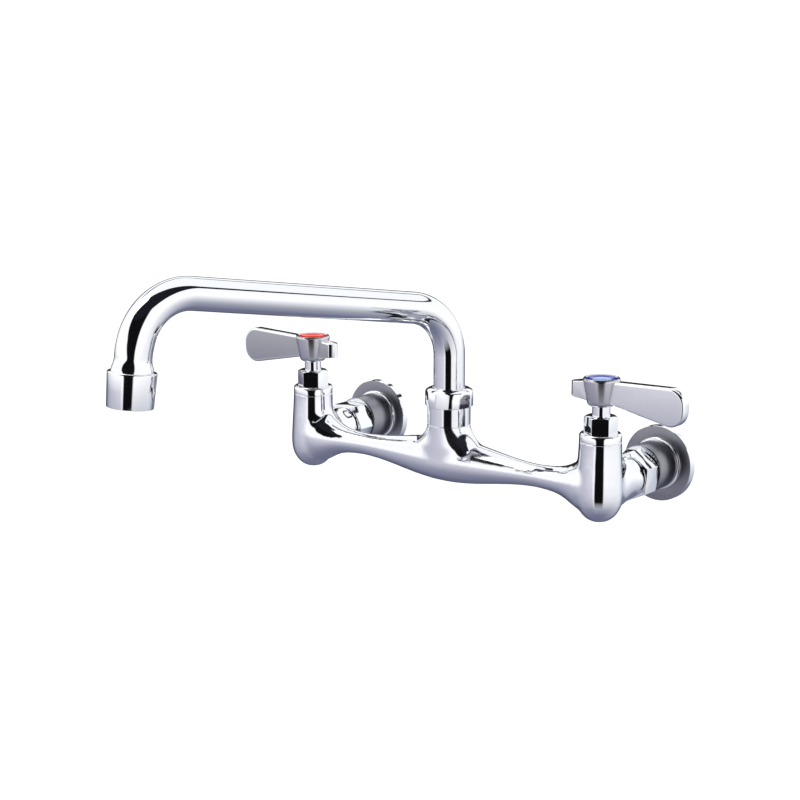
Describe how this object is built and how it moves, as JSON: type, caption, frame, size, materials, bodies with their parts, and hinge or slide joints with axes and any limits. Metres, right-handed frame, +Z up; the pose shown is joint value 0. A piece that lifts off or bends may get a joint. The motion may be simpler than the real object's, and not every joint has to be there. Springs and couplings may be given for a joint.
{
  "type": "wall mounted commercial faucet",
  "caption": "Chrome wall mounted kitchen faucet: cast body, swivel spout, wing levers on ceramic cartridges, eccentric union inlets.",
  "frame": {"origin": "on the wall plane, halfway between the two inlet axes", "axes": "+X to the right seen from the front (cold side), +Y into the wall, +Z up"},
  "size_m": [0.3072, 0.2722, 0.1406],
  "materials": {
    "chrome": "polished chrome plate",
    "chrome_satin": "satin chrome plate",
    "brass": "machined",
    "steel": "stainless steel",
    "ceramic": "lapped alumina",
    "rubber": "matt",
    "acetal": "moulded",
    "red_index": "gloss",
    "blue_index": "gloss"
  },
  "bodies": {
    "root": {"faucet_body": "chrome", "spout_nut": "chrome", "swivel_washer": "acetal", "retaining_ring": "brass", "hot_inlet_flange": "chrome", "hot_inlet_washer": "rubber", "hot_union_tail": "brass", "hot_coupling_nut": "chrome", "hot_bonnet": "chrome", "hot_bonnet_o_ring": "rubber", "hot_thrust_washer": "acetal", "hot_fixed_disc": "ceramic", "hot_seat_seal": "rubber", "cold_inlet_flange": "chrome", "cold_inlet_washer": "rubber", "cold_union_tail": "brass", "cold_coupling_nut": "chrome", "cold_bonnet": "chrome", "cold_bonnet_o_ring": "rubber", "cold_thrust_washer": "acetal", "cold_fixed_disc": "ceramic", "cold_seat_seal": "rubber"},
    "spout": {"spout_tube": "chrome", "spout_shank": "brass", "spout_o_rings": "rubber", "outlet_collar": "chrome", "aerator_washer": "rubber", "aerator_insert": "acetal"},
    "hot_handle": {"hot_spindle": "chrome", "hot_stem_o_rings": "rubber", "hot_moving_disc": "ceramic", "hot_lever": "chrome", "hot_handle_screw": "steel", "hot_index_button": "red_index"},
    "cold_handle": {"cold_spindle": "chrome", "cold_stem_o_rings": "rubber", "cold_moving_disc": "ceramic", "cold_lever": "chrome", "cold_handle_screw": "steel", "cold_index_button": "blue_index"}
  },
  "joints": [
    {"name": "spout_swivel", "type": "hinge", "parent": "root", "child": "spout", "pos_m": [0, -0.0645, 0.03], "axis": [0, 0, 1], "range_deg": [-84.3, 115.7]},
    {"name": "hot_handle_turn", "type": "hinge", "parent": "root", "child": "hot_handle", "pos_m": [-0.1016, -0.0645, 0.03], "axis": [0, 0, 1], "range_deg": [0, 90]},
    {"name": "cold_handle_turn", "type": "hinge", "parent": "root", "child": "cold_handle", "pos_m": [0.1016, -0.0645, 0.03], "axis": [0, 0, 1], "range_deg": [-90, 0]}
  ]
}
